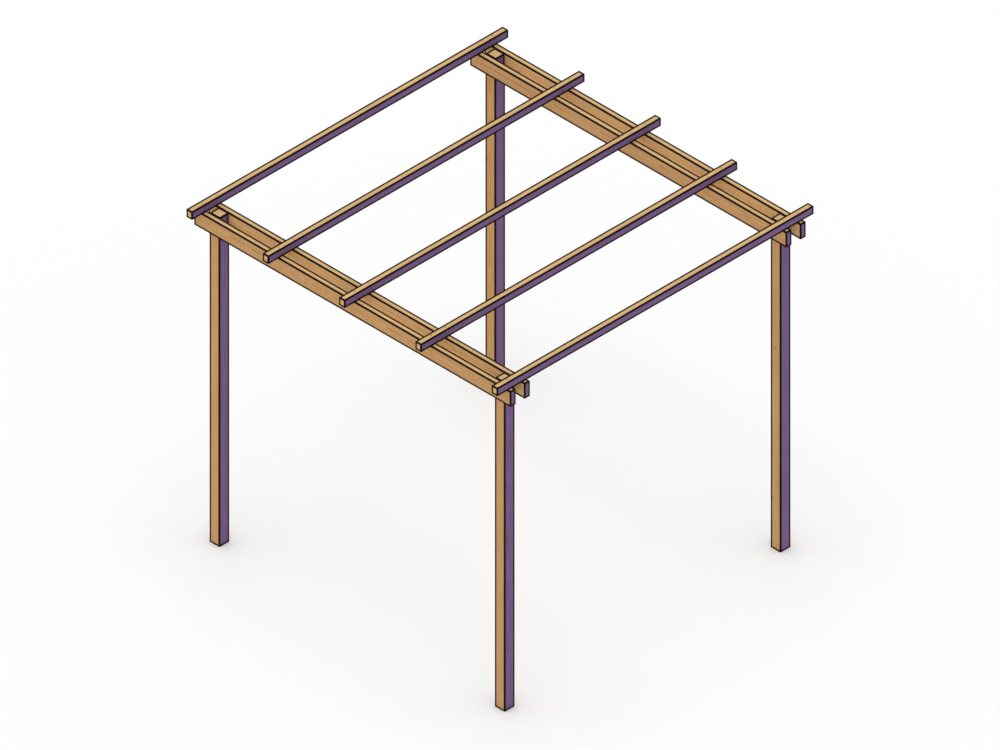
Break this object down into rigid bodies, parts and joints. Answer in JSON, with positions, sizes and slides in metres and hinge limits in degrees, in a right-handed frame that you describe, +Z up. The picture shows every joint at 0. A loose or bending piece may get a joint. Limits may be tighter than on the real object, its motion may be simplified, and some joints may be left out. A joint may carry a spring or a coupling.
{
  "type": "wooden pergola",
  "caption": "Free-standing garden pergola: square posts, housed and clasped at the head by paired beams, with square-cut rafters laid across the beams as an open flat roof.",
  "frame": {"origin": "on the ground, at the middle of the plan", "axes": "+Z up, X along the beams, Y along the rafters, front at -Y"},
  "size_m": [3.005, 3.005, 2.77],
  "materials": {
    "post_timber": "planed softwood, oiled, with violet-stained side faces and dark arrises",
    "beam_timber": "planed softwood, oiled, with violet-stained ends and dark arrises",
    "rafter_timber": "planed softwood, oiled, with violet-stained side faces and dark arrises",
    "coach_screw_steel": "hot-dip galvanised, dull grey",
    "rafter_screw_steel": "tan corrosion-proof coating"
  },
  "bodies": {
    "root": {"post_front_left": "post_timber", "post_front_right": "post_timber", "post_rear_left": "post_timber", "post_rear_right": "post_timber", "beam_front_outer": "beam_timber", "beam_front_inner": "beam_timber", "beam_rear_outer": "beam_timber", "beam_rear_inner": "beam_timber", "rafter_1": "rafter_timber", "rafter_2": "rafter_timber", "rafter_3": "rafter_timber", "rafter_4": "rafter_timber", "rafter_5": "rafter_timber"}
  },
  "joints": []
}
